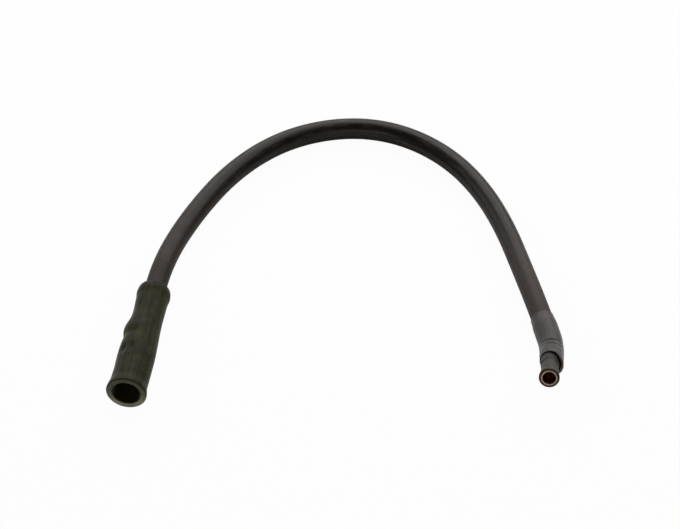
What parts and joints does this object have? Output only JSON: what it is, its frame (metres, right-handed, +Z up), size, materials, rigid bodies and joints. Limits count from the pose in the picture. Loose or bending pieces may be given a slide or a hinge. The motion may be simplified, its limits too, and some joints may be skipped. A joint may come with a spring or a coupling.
{
  "type": "spark plug wire",
  "caption": "Short bent ignition lead with a straight rubber boot for a spark plug on one end and a small brass socket in a nipple under a thin sleeve on the other.",
  "frame": {"origin": "on the surface the lead lies on, under the centre of the box round the boot, the sleeve and the socket", "axes": "+Y runs along the straight boot from its mouth towards the cable, +X from the boot towards the socket, +Z up from the surface"},
  "size_m": [0.1411, 0.1393, 0.0139],
  "materials": {
    "boot_rubber": "moulded, satin, olive black",
    "plated_steel": "bright plated sheet",
    "spring_steel": "drawn wire",
    "jacket_rubber": "extruded, low gloss, black",
    "insulation_rubber": "extruded, matt, off-white",
    "copper_core": "stranded copper",
    "sleeve_plastic": "thin shrunk sleeve, dark grey",
    "nipple_rubber": "moulded, grey-green",
    "socket_brass": "turned brass, slightly tarnished"
  },
  "bodies": {
    "root": {"straight_boot": "boot_rubber", "plug_terminal": "plated_steel", "terminal_spring_ring": "spring_steel", "cable_jacket": "jacket_rubber", "cable_insulation": "insulation_rubber", "cable_core": "copper_core", "end_sleeve": "sleeve_plastic", "socket_insulator": "nipple_rubber", "socket_terminal": "socket_brass"}
  },
  "joints": []
}
